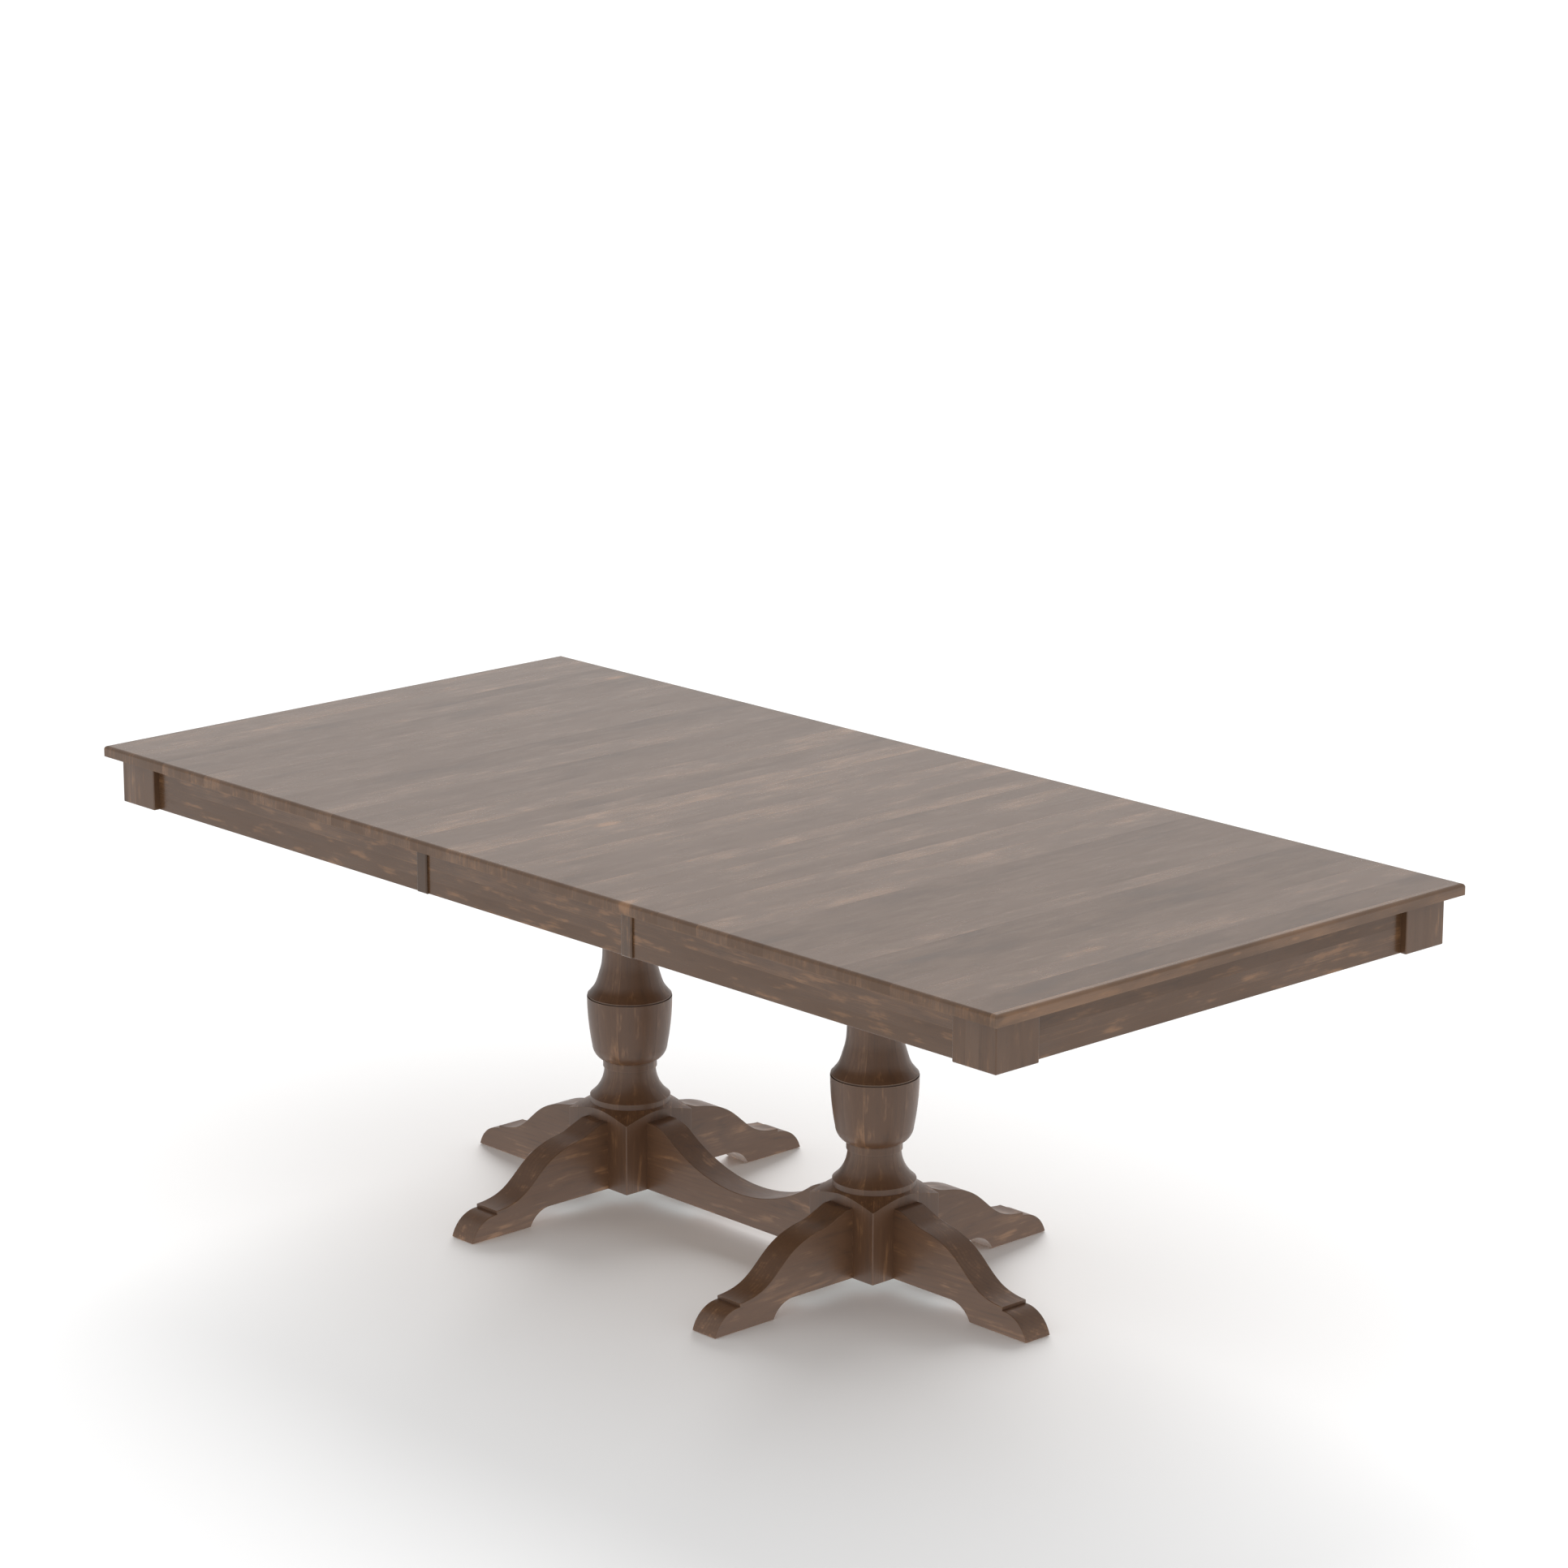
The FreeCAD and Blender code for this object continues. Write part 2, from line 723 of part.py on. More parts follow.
def half_top(side):
    """One fixed half of the top: rounded upper edges on its three outer sides."""
    outer = side * half_length
    inner = side * (seam_x + seam_gap / 2)
    shape = box((inner, outer), (-half_width, half_width), (top_underside, table_height))
    outer_top = lambda b: lies_at(b, "z", table_height) and (
        lies_at(b, "x", outer) or lies_at(b, "y", half_width) or lies_at(b, "y", -half_width))
    return rounded(shape, top_edge_round, outer_top)


def leaf_top():
    inner = seam_x - seam_gap / 2
    shape = box((-inner, inner), (-half_width, half_width), (top_underside, table_height))
    outer_top = lambda b: lies_at(b, "z", table_height) and (
        lies_at(b, "y", half_width) or lies_at(b, "y", -half_width))
    shape = rounded(shape, top_edge_round, outer_top)
    slots = []
    for side in (-1, 1):
        for y in pin_places:
            half = pin_radius + pin_clearance
            slots.append(box((side * inner, side * (inner - pin_reach - pin_clearance)), (y - half, y + half),
                             (top_underside, pin_height + half)))
    return drilled(shape, slots)


def half_pins(side, grow=0.0):
    """Alignment pins in the edge of one half, reaching into the leaf's slots."""
    tip = side * (seam_x + seam_gap / 2 - pin_reach)
    return [cylinder(pin_radius + grow, vector(tip, y, pin_height), X * side, pin_length + grow)
            for y in pin_places]


def long_apron(side, row):
    """Side apron of one half, between its corner block and the seam."""
    face = row * apron_face_y
    shape = box((side * (seam_x + seam_gap / 2), side * (block_face_x - block_side)),
                (face, face - row * apron_thickness), (apron_underside, top_underside))
    lower_face = lambda b: lies_at(b, "z", apron_underside) and lies_at(b, "y", face)
    return rounded(shape, apron_edge_round, lower_face)


def end_apron(side):
    face = side * apron_face_x
    reach = block_face_y - block_side
    shape = box((face, face - side * apron_thickness), (-reach, reach), (apron_underside, top_underside))
    lower_face = lambda b: lies_at(b, "z", apron_underside) and lies_at(b, "x", face)
    return rounded(shape, apron_edge_round, lower_face)


def leaf_apron(row):
    """Side apron of the leaf, set back a little to pass behind the battens."""
    face = row * (apron_face_y - batten_clearance)
    inner = seam_x - seam_gap / 2
    shape = box((-inner, inner), (face, face - row * apron_thickness), (apron_underside, top_underside))
    lower_face = lambda b: lies_at(b, "z", apron_underside) and lies_at(b, "y", face)
    return rounded(shape, apron_edge_round, lower_face)


def corner_block(side, row):
    shape = box((side * block_face_x, side * (block_face_x - block_side)),
                (row * block_face_y, row * (block_face_y - block_side)), (apron_underside, top_underside))
    below_or_upright = lambda b: lies_at(b, "z", apron_underside) or b.ZLength > b.XLength + b.YLength
    return rounded(shape, block_round, below_or_upright)


def batten(side, row):
    """Cover strip on the end of a half's apron, lapping the leaf's apron."""
    inner = seam_x - batten_lap
    face = row * (apron_face_y + batten_thickness)
    shape = box((side * inner, side * (inner + batten_width)), (row * apron_face_y, face),
                (apron_underside, top_underside))
    front_edges = lambda b: lies_at(b, "y", face) and not lies_at(b, "z", top_underside)
    return rounded(shape, batten_edge_round, front_edges)


def glue_block(corner, inward, along):
    """Three-cornered block glued in the angle of an apron and the top, centred on corner."""
    start = corner - along * (glue_block_length / 2)
    edges = Part.makePolygon([start, start + inward * glue_block_leg, start - Z * glue_block_leg, start])
    return Part.Face(edges).extrude(along * glue_block_length)


def half_glue_blocks(side):
    inner_y = apron_face_y - apron_thickness
    inner_x = apron_face_x - apron_thickness
    near = seam_x + glue_block_length
    far = block_face_x - block_side - glue_block_length
    blocks = []
    for row in (-1, 1):
        for x in (near, far):
            blocks.append(glue_block(vector(side * x, row * inner_y, top_underside), Y * -row, X))
        blocks.append(glue_block(vector(side * inner_x, row * rail_y, top_underside), X * -side, Y))
    return blocks


def leaf_glue_blocks():
    inner_y = apron_face_y - batten_clearance - apron_thickness
    return [glue_block(vector(x, row * inner_y, top_underside), Y * -row, X)
            for row in (-1, 1) for x in (-seam_x / 2, seam_x / 2)]


def runner_line(side, row):
    """Y of a runner's middle: the left half's lie inside the fixed rails, the right half's outside."""
    return row * (rail_y + side * (rail_width / 2 + runner_side_gap + runner_width / 2))


def runner_screw_seats(side, row):
    """Screws up through the runner, clear of its groove, into the top."""
    first = seam_x + runner_screw_length
    last = runner_inner_end + runner_length - runner_screw_length
    pitch = (last - first) / (runner_screw_count - 1)
    groove_side = row * (rail_y + side * rail_width / 2)
    y = groove_side + row * side * (runner_side_gap + (key_width / 2 + slide_clearance + runner_width) / 2)
    height = top_underside + runner_screw_bite - runner_screw_length
    return [vector(side * (first + k * pitch), y, height) for k in range(runner_screw_count)]


def runner(side, row, holes):
    """Sliding bar under one half, grooved over the fixed rail's key and eased under the leaf."""
    middle = runner_line(side, row)
    inner = side * runner_inner_end
    outer = side * (runner_inner_end + runner_length)
    shape = box((inner, outer), (middle - runner_width / 2, middle + runner_width / 2),
                (runner_underside, top_underside))
    key_face = row * (rail_y + side * rail_width / 2)
    reach = key_face + row * side * (key_width / 2 + slide_clearance)
    half = key_height / 2 + slide_clearance
    groove = box((inner, outer), (key_face, reach), (key_middle - half, key_middle + half))
    relief = box((inner, side * (seam_x + seam_gap)),
                 (middle - runner_width / 2, middle + runner_width / 2),
                 (top_underside - runner_relief, top_underside))
    sinks = [cylinder(2 * runner_screw_radius + fit_clearance, seat, -Z, seat.z - runner_underside)
             for seat in runner_screw_seats(side, row)]
    return drilled(shape, [groove, relief] + sinks + holes)


def leaf_cleat(side, holes):
    middle = side * cleat_spacing / 2
    shape = box((middle - cleat_width / 2, middle + cleat_width / 2), (-cleat_half_length, cleat_half_length),
                (top_underside - cleat_height, top_underside))
    lower_end = lambda b: lies_at(b, "z", top_underside - cleat_height) and (
        lies_at(b, "y", cleat_half_length) or lies_at(b, "y", -cleat_half_length))
    return drilled(rounded(shape, cleat_end_round, lower_end), holes)


def cleat_screw_seats():
    reach = cleat_half_length - cleat_screw_inset
    return [vector(side * cleat_spacing / 2, y, top_underside - cleat_height)
            for side in (-1, 1) for y in (-reach, 0, reach)]


pieces = {}


def keep(name, shape):
    pieces[name] = shape if isinstance(shape, list) else [shape]


def build_base():
    names = {-1: "left", 1: "right"}
    seats = plate_screw_seats()
    plain_plate_screws, plain_plate_holes = screws(seats, Z, plate_screw_radius, plate_screw_length)
    rail_screws, rail_holes = screws(rail_screw_seats(), Z, rail_screw_radius, rail_screw_length)
    plain_column = drilled(column(), lag_holes() + plain_plate_holes)
    plain_foot = drilled(foot(), joint_dowels(fit_clearance))
    middle_plank = stretcher()
    dowels, glides, plate_screws, lags = [], [], [], []
    for side, name in names.items():
        directions = arm_directions(side)
        inward = X * -side
        sockets = [at_pedestal(peg, side, way) for way in [*directions.values(), inward]
                   for peg in joint_dowels(fit_clearance)]
        here = X * (side * pedestal_x)
        holes_here = [hole.translated(here) for hole in plain_plate_holes]
        keep("column_" + name, plain_column.translated(here).cut(sockets))
        for foot_name, way in directions.items():
            node = "foot_{}_{}".format(name, foot_name)
            keep(node, at_pedestal(plain_foot, side, way).cut(holes_here))
            glides.append(at_pedestal(glide(), side, way))
        for way in [*directions.values(), inward]:
            dowels += [at_pedestal(peg, side, way) for peg in joint_dowels()]
        middle_plank = middle_plank.cut(sockets + holes_here)
        keep("post_plate_" + name, plate(plain_plate_holes).translated(here))
        plate_screws += [one.translated(here) for one in plain_plate_screws]
        lag_holes_here = [hole.translated(here) for hole in lag_holes()]
        keep("bearer_" + name, bearer(side, lag_holes_here + rail_holes))
        lags += [placed(lag_screw(), seat + here, Z) for seat in lag_seats()]
    keep("stretcher", middle_plank)
    keep("foot_dowels", dowels)
    keep("floor_glides", glides)
    keep("plate_screws", plate_screws)
    keep("column_lag_screws", lags)
    for row, name in ((-1, "front"), (1, "back")):
        keep("fixed_rail_" + name, fixed_rail(row, rail_holes))
    keep("slide_keys", [slide_key(row, face) for row in (-1, 1) for face in (-1, 1)])
    keep("rail_screws", rail_screws)
    keep("gear_bridge", gear_bridge(rail_holes))
    keep("pinion_axle", pinion_axle())
    keep("pinion", pinion())


def build_half(side, name):
    top_holes = half_pins(side, fit_clearance)
    fasteners = []
    for row, row_name in ((-1, "front"), (1, "back")):
        held, holes = screws(runner_screw_seats(side, row), Z, runner_screw_radius, runner_screw_length)
        fasteners += held
        top_holes += holes
        keep("{}_{}_runner".format(name, row_name), runner(side, row, holes))
        keep("{}_{}_apron".format(name, row_name), long_apron(side, row))
        keep("{}_{}_corner_block".format(name, row_name), corner_block(side, row))
        keep("{}_{}_batten".format(name, row_name), batten(side, row))
    held, holes = screws(rack_screw_seats(), Z, rack_screw_radius, rack_screw_length)
    fasteners += [for_side(one, side) for one in held]
    keep(name + "_rack", for_side(drilled(rack(), holes), side))
    keep(name + "_rack_block", for_side(drilled(rack_block(), holes), side))
    keep(name + "_top", drilled(half_top(side), top_holes))
    keep(name + "_end_apron", end_apron(side))
    keep(name + "_pins", half_pins(side))
    keep(name + "_glue_blocks", half_glue_blocks(side))
    keep(name + "_screws", fasteners)


def build_leaf():
    held, holes = screws(cleat_screw_seats(), Z, cleat_screw_radius, cleat_screw_length)
    keep("leaf_top", drilled(leaf_top(), holes))
    keep("leaf_front_apron", leaf_apron(-1))
    keep("leaf_back_apron", leaf_apron(1))
    keep("leaf_cleats", [leaf_cleat(side, holes) for side in (-1, 1)])
    keep("leaf_glue_blocks", leaf_glue_blocks())
    keep("leaf_screws", held)


build_base()
build_half(-1, "left")
build_half(1, "right")
build_leaf()

os.makedirs("parts", exist_ok=True)
for node, solids in pieces.items():
    shape = solids[0] if len(solids) == 1 else Part.makeCompound(solids)
    if not shape.isValid():
        raise ValueError(node + " is not a valid shape")
    shape.exportStep("parts/{}.step".format(node))
solid_count = sum(len(shape.Solids) for solids in pieces.values() for shape in solids)
print(len(pieces), "nodes,", solid_count, "solids")
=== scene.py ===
import bpy
import math
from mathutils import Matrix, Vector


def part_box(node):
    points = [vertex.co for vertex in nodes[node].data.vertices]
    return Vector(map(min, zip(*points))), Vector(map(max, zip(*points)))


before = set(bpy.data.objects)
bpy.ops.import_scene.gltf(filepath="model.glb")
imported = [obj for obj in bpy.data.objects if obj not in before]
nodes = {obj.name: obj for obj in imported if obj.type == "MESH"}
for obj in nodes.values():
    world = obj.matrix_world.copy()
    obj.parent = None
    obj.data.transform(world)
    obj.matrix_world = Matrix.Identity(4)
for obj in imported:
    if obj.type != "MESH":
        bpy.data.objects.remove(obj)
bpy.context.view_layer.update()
print("frame loaded:", len(nodes), "nodes")

scene = bpy.context.scene
scene.view_settings.view_transform = "Standard"


# camera as in the photograph, metres and degrees
cameraSetup = {
    "place": (5.941482, -5.457346, 2.871082),
    "tilt": 75.63485,
    "heading": 47.01072,
    "roll": 0.0769,
    "lens": 113.024,
    "sensor": 36.0,
    "farthest": 100.0,
}


def addCamera(setup):
    data = bpy.data.cameras.new("photoCamera")
    data.lens = setup["lens"]
    data.sensor_width = setup["sensor"]
    data.clip_end = setup["farthest"]
    camera = bpy.data.objects.new("photoCamera", data)
    scene.collection.objects.link(camera)
    camera.location = setup["place"]
    camera.rotation_euler = (math.radians(setup["tilt"]), 0, math.radians(setup["heading"]))
    camera.rotation_euler.rotate_axis("Z", math.radians(setup["roll"]))
    scene.camera = camera


addCamera(cameraSetup)
print("camera placed")


# small helpers for node trees
def feed(tree, socket, value):
    if isinstance(value, bpy.types.NodeSocket):
        tree.links.new(value, socket)
    elif value is not None:
        socket.default_value = value


def calc(tree, operation, first, second=None, third=None):
    node = tree.nodes.new("ShaderNodeMath")
    node.operation = operation
    for socket, value in zip(node.inputs, (first, second, third)):
        feed(tree, socket, value)
    return node.outputs[0]


def moveVector(tree, operation, first, second):
    node = tree.nodes.new("ShaderNodeVectorMath")
    node.operation = operation
    feed(tree, node.inputs[0], first)
    feed(tree, node.inputs["Scale"] if operation == "SCALE" else node.inputs[1], second)
    return node.outputs[0]


def splitVector(tree, vector):
    node = tree.nodes.new("ShaderNodeSeparateXYZ")
    feed(tree, node.inputs[0], vector)
    return node.outputs


def joinVector(tree, x, y, z):
    node = tree.nodes.new("ShaderNodeCombineXYZ")
    for socket, value in zip(node.inputs, (x, y, z)):
        feed(tree, socket, value)
    return node.outputs[0]


def splitColour(tree, colour):
    node = tree.nodes.new("ShaderNodeSeparateColor")
    feed(tree, node.inputs[0], colour)
    return node.outputs


# soft noise between 0 and 1, stretched to so many clouds a metre along each axis
def cloud(tree, vector, stretch, detail=2.0, rough=0.5):
    node = tree.nodes.new("ShaderNodeTexNoise")
    feed(tree, node.inputs["Vector"], moveVector(tree, "MULTIPLY", vector, stretch))
    node.inputs["Scale"].default_value = 1.0
    node.inputs["Detail"].default_value = detail
    node.inputs["Roughness"].default_value = rough
    return node.outputs["Fac"]


# the same noise, above and below nought
def swing(tree, vector, stretch, detail, rough):
    return calc(tree, "SUBTRACT", cloud(tree, vector, stretch, detail, rough), 0.5)


# scattered cells: the distance from the middle of each, and a chance of its own
def spots(tree, vector, stretch):
    node = tree.nodes.new("ShaderNodeTexVoronoi")
    feed(tree, node.inputs["Vector"], moveVector(tree, "MULTIPLY", vector, stretch))
    node.inputs["Scale"].default_value = 1.0
    return node.outputs["Distance"], splitColour(tree, node.outputs["Color"])[0]


def ramp(tree, value, low, high, start=0.0, end=1.0):
    node = tree.nodes.new("ShaderNodeMapRange")
    node.interpolation_type = "SMOOTHSTEP"
    feed(tree, node.inputs["Value"], value)
    for name, number in zip(("From Min", "From Max", "To Min", "To Max"), (low, high, start, end)):
        feed(tree, node.inputs[name], number)
    return node.outputs[0]


# each layer times its share, added to the start
def addUp(tree, start, layers, shares):
    total = start
    for name, share in shares.items():
        total = calc(tree, "MULTIPLY_ADD", layers[name], share, total)
    return total


# the mix node keeps sockets of its own for each kind of value: first, second and outcome
mixSockets = {"RGBA": (6, 7, 2), "VECTOR": (4, 5, 1)}


def mixValues(tree, share, first, second, kind="RGBA"):
    node = tree.nodes.new("ShaderNodeMix")
    node.data_type = kind
    firstSocket, secondSocket, outcome = mixSockets[kind]
    feed(tree, node.inputs[0], share)
    feed(tree, node.inputs[firstSocket], first)
    feed(tree, node.inputs[secondSocket], second)
    return node.outputs[outcome]


# the kind of a group's socket is read from its starting value: a number, a colour, or "" for a vector
def startGroup(name, sockets, results):
    group = bpy.data.node_groups.new(name, "ShaderNodeTree")
    kinds = {float: "NodeSocketFloat", tuple: "NodeSocketColor", str: "NodeSocketVector"}
    for label, value in sockets.items():
        socket = group.interface.new_socket(name=label, in_out="INPUT", socket_type=kinds[type(value)])
        if not isinstance(value, str):
            socket.default_value = value
    for label, value in results.items():
        group.interface.new_socket(name=label, in_out="OUTPUT", socket_type=kinds[type(value)])
    return group, group.nodes.new("NodeGroupInput").outputs, group.nodes.new("NodeGroupOutput").inputs


def startMaterial(name):
    material = bpy.data.materials.new(name)
    material.use_nodes = True
    return material, material.node_tree, material.node_tree.nodes["Principled BSDF"]


def addGroup(tree, group):
    node = tree.nodes.new("ShaderNodeGroup")
    node.node_tree = group
    return node


def addBump(tree, shader, height, strength, depth):
    bump = tree.nodes.new("ShaderNodeBump")
    bump.inputs["Strength"].default_value = strength
    bump.inputs["Distance"].default_value = depth
    tree.links.new(height, bump.inputs["Height"])
    tree.links.new(bump.outputs[0], shader.inputs["Normal"])


# white light tent: even light from all round, a soft light behind the table and a white floor
studio = {
    "worldColour": (1.0, 1.0, 1.0, 1.0),
    "worldStrength": 0.84,
    "floorGlow": 1.15,  # what the tent's floor sends back up to the table
    "floorSize": 80.0,
    "floorColour": (0.90, 0.90, 0.90, 1.0),
}

# heading it comes from, degrees above the floor, degrees wide, and where the lamp is drawn
backLight = {
    "from": (-0.7315, 0.6818),
    "height": 25.0,
    "width": 40.0,
    "strength": 3.4,
    "away": 6.0,
    "up": 4.0,
}


def addSoftSun(name, setup):
    data = bpy.data.lights.new(name, "SUN")
    data.energy = setup["strength"]
    data.angle = math.radians(setup["width"])
    lamp = bpy.data.objects.new(name, data)
    scene.collection.objects.link(lamp)
    x, y = setup["from"]
    lamp.rotation_euler = (math.radians(90 - setup["height"]), 0, math.atan2(x, -y))
    lamp.location = (x * setup["away"], y * setup["away"], setup["up"])
    lamp.visible_glossy = False  # a hidden lamp: the lacquer mirrors the white tent only


def addWorld(setup):
    world = bpy.data.worlds.new("softStudio")
    world.use_nodes = True
    backdrop = world.node_tree.nodes["Background"]
    backdrop.inputs["Color"].default_value = setup["worldColour"]
    backdrop.inputs["Strength"].default_value = setup["worldStrength"]
    scene.world = world


def mixShaders(tree, share, first, second):
    node = tree.nodes.new("ShaderNodeMixShader")
    for socket, value in zip(node.inputs, (share, first, second)):
        tree.links.new(value, socket)
    return node.outputs[0]


def addFloor(setup):
    bpy.ops.object.select_all(action="DESELECT")
    bpy.ops.mesh.primitive_plane_add(size=setup["floorSize"], location=(0, 0, 0))
    floor = bpy.context.object
    floor.name = "studioFloor"
    paint, tree, shader = startMaterial("floorPaint")
    paint.cycles.emission_sampling = "NONE"
    shader.inputs["Base Color"].default_value = setup["floorColour"]
    shader.inputs["Roughness"].default_value = 1.0
    shader.inputs["Specular IOR Level"].default_value = 0.0
    glow = tree.nodes.new("ShaderNodeEmission")
    glow.inputs["Strength"].default_value = setup["floorGlow"]
    # the camera sees the floor with its shadow, the table sees it glow
    seen = tree.nodes.new("ShaderNodeLightPath").outputs["Is Camera Ray"]
    surface = mixShaders(tree, seen, glow.outputs[0], shader.outputs[0])
    # from below the floor is clear, so the underside of the table can be looked at
    below = tree.nodes.new("ShaderNodeNewGeometry").outputs["Backfacing"]
    clear = tree.nodes.new("ShaderNodeBsdfTransparent").outputs[0]
    surface = mixShaders(tree, below, surface, clear)
    tree.links.new(surface, tree.nodes["Material Output"].inputs["Surface"])
    floor.data.materials.append(paint)


addWorld(studio)
addSoftSun("backLight", backLight)
addFloor(studio)
print("studio ready")


# wood glued up from staves: grain runs along x of the vector, staves lie side by side along y and z
staveSetup = {
    # clouds a metre along, across and through the grain, then their detail and roughness
    "drift": ((2.2, 9.0, 9.0), 2.0, 0.5),
    "fibre": ((8.0, 330.0, 90.0), 3.0, 0.65),
    "streak": ((2.4, 75.0, 22.0), 3.0, 0.6),
    "mottle": ((5.5, 17.0, 17.0), 3.0, 0.5),
    "patch": ((15.0, 60.0, 50.0), 3.0, 0.55),
    "pore": ((48.0, 1300.0, 1300.0), 1.0, 0.5),
    "upright": ((3.0, 240.0, 16.0), 2.0, 0.6),
    # cells a metre that may hold a fleck or a knot
    "fleckCells": (30.0, 115.0, 115.0),
    "knotCells": (4.0, 9.0, 9.0),
    # staves: how fast and how much their width varies, and how far apart their grain is taken, metres
    "swayRate": 1.7,
    "sway": 0.22,
    "apart": 9.0,
    # seams: width as a share of a stave, the share of them that is dark, and how much they show
    "seamWidth": 0.035,
    "darkSeams": 0.4,
    "seamTone": 0.35,
    "wander": 0.010,  # metres that a grain line strays
    # stain: how frayed its patches are, and where they turn pale or deep
    "patchFray": 0.12,
    "pale": (0.52, 0.72),
    "deep": (0.48, 0.28, 0.0, 0.4),
    # growth rings: slant and place of the core, how it sways, and how the rings show
    "coreSlant": 0.07,
    "coreDepth": 0.01,
    "coreHeight": 0.10,
    "depthSway": 0.06,
    "heightSway": 0.05,
    "ringStreak": 5.0,
    "ringSharpness": 3.0,
    "ringMottle": 3.0,
    "ringShow": 0.8,
    # flecks, knots and pores: frayed edge, size within a cell and how few cells hold one
    "fleckFray": 0.9,
    "fleckSize": (0.42, 0.12),
    "fleckChance": (0.86, 0.97),
    "knotFray": 0.06,
    "knotChance": (0.78, 0.84),
    "haloSize": (0.20, 0.08),
    "eyeSize": (0.075, 0.045),
    "eyeTone": -1.9,
    "poreSize": (0.60, 0.72),
    "poreTone": -0.05,
    # sawn ends: how squarely they face along the grain, and their tone
    "endFacing": (0.55, 0.85),
    "endSpread": -0.5,
    "endTone": 0.15,
    # shares of the layers in the lacquer and in the relief
    "gloss": {"luck": 0.05, "fibre": 0.16, "mottle": 0.16, "blotch": -0.06},
    "coatStart": 0.14,
    "coat": {"luck": 0.24, "mottle": 0.50},
    "relief": {"fibre": 0.5, "pore": -0.4, "mottle": 2.0},
}


def makeStavedWood(setup):
    group, given, result = startGroup("stavedWood", {
        "Vector": "", "Facing": "", "Stave Width": 0.06, "Stave Depth": 1.0, "Tone Spread": 0.3,
        "Streaks": 0.3, "Mottle": 0.3, "Blotches": 0.3, "Fibres": 0.2, "Figure": 0.0, "Ring Gap": 0.008,
        "Flecks": 0.3, "Knots": 0.3, "End Grain": 0.5, "Dark": (0.05, 0.025, 0.012, 1.0),
        "Mid": (0.10, 0.052, 0.026, 1.0), "Light": (0.2, 0.11, 0.06, 1.0), "Sheen": 0.4,
    }, {"Color": (1.0,), "Roughness": 0.0, "Lacquer": 0.0, "Height": 0.0})
    along, across, through = splitVector(group, given["Vector"])
    # staves of uneven width, each with its own tone and its own stretch of grain
    place = calc(group, "DIVIDE", across, given["Stave Width"])
    sway = calc(group, "SINE", calc(group, "MULTIPLY", place, setup["swayRate"]))
    place = calc(group, "MULTIPLY_ADD", sway, setup["sway"], place)
    layer = calc(group, "ADD", calc(group, "DIVIDE", through, given["Stave Depth"]), 0.5)
    stave = joinVector(group, calc(group, "FLOOR", place), calc(group, "FLOOR", layer), 0.0)
    lot = group.nodes.new("ShaderNodeTexWhiteNoise")
    feed(group, lot.inputs["Vector"], stave)
    luck = calc(group, "SUBTRACT", lot.outputs["Value"], 0.5)
    chance = splitColour(group, lot.outputs["Color"])[0]
    edge = ramp(group, calc(group, "PINGPONG", place, 0.5), setup["seamWidth"], 0.0)
    seam = calc(group, "MULTIPLY", edge, calc(group, "SUBTRACT", chance, setup["darkSeams"]))
    stretch = moveVector(group, "SCALE", lot.outputs["Color"], setup["apart"])
    board = moveVector(group, "ADD", given["Vector"], stretch)
    # the grain lines wander a little
    drift = swing(group, board, *setup["drift"])
    stray = joinVector(group, 0.0, calc(group, "MULTIPLY", drift, setup["wander"]), 0.0)
    grain = moveVector(group, "ADD", board, stray)
    fibre = swing(group, grain, *setup["fibre"])
    streak = swing(group, grain, *setup["streak"])
    mottle = swing(group, board, *setup["mottle"])
    # ragged patches where the stain took lighter or darker
    patch = calc(group, "MULTIPLY_ADD", fibre, setup["patchFray"], cloud(group, grain, *setup["patch"]))
    pale = ramp(group, patch, *setup["pale"])
    blotch = calc(group, "SUBTRACT", pale, ramp(group, patch, *setup["deep"]))
    # growth rings of a flat-sawn plank: a slanting core cut by the surface
    core = calc(group, "ADD", through, setup["coreDepth"])
    core = calc(group, "MULTIPLY_ADD", along, setup["coreSlant"], core)
    core = calc(group, "MULTIPLY_ADD", drift, setup["depthSway"], core)
    rise = calc(group, "SUBTRACT", across, setup["coreHeight"])
    rise = calc(group, "MULTIPLY_ADD", drift, setup["heightSway"], rise)
    reach = calc(group, "MULTIPLY_ADD", rise, rise, calc(group, "MULTIPLY", core, core))
    turn = calc(group, "DIVIDE", calc(group, "SQRT", reach), given["Ring Gap"])
    turn = calc(group, "MULTIPLY", turn, math.tau)
    turn = calc(group, "MULTIPLY_ADD", streak, setup["ringStreak"], turn)
    ring = calc(group, "MULTIPLY_ADD", calc(group, "SINE", turn), 0.5, 0.5)
    ring = calc(group, "POWER", ring, setup["ringSharpness"])
    show = calc(group, "MULTIPLY_ADD", mottle, setup["ringMottle"], setup["ringShow"])
    ring = calc(group, "MAXIMUM", calc(group, "MULTIPLY", ring, show), 0.0)
    # short pale flecks and a few small knots with a pale ring round them
    gap, odds = spots(group, grain, setup["fleckCells"])
    gap = calc(group, "MULTIPLY_ADD", fibre, setup["fleckFray"], gap)
    few = ramp(group, odds, *setup["fleckChance"])
    fleck = calc(group, "MULTIPLY", ramp(group, gap, *setup["fleckSize"]), few)
    gap, odds = spots(group, board, setup["knotCells"])
    gap = calc(group, "MULTIPLY_ADD", patch, setup["knotFray"], gap)
    few = ramp(group, odds, *setup["knotChance"])
    halo = calc(group, "MULTIPLY", ramp(group, gap, *setup["haloSize"]), few)
    eye = calc(group, "MULTIPLY", ramp(group, gap, *setup["eyeSize"]), few)
    knot = calc(group, "MULTIPLY_ADD", eye, setup["eyeTone"], halo)
    pore = ramp(group, cloud(group, grain, *setup["pore"]), *setup["poreSize"])
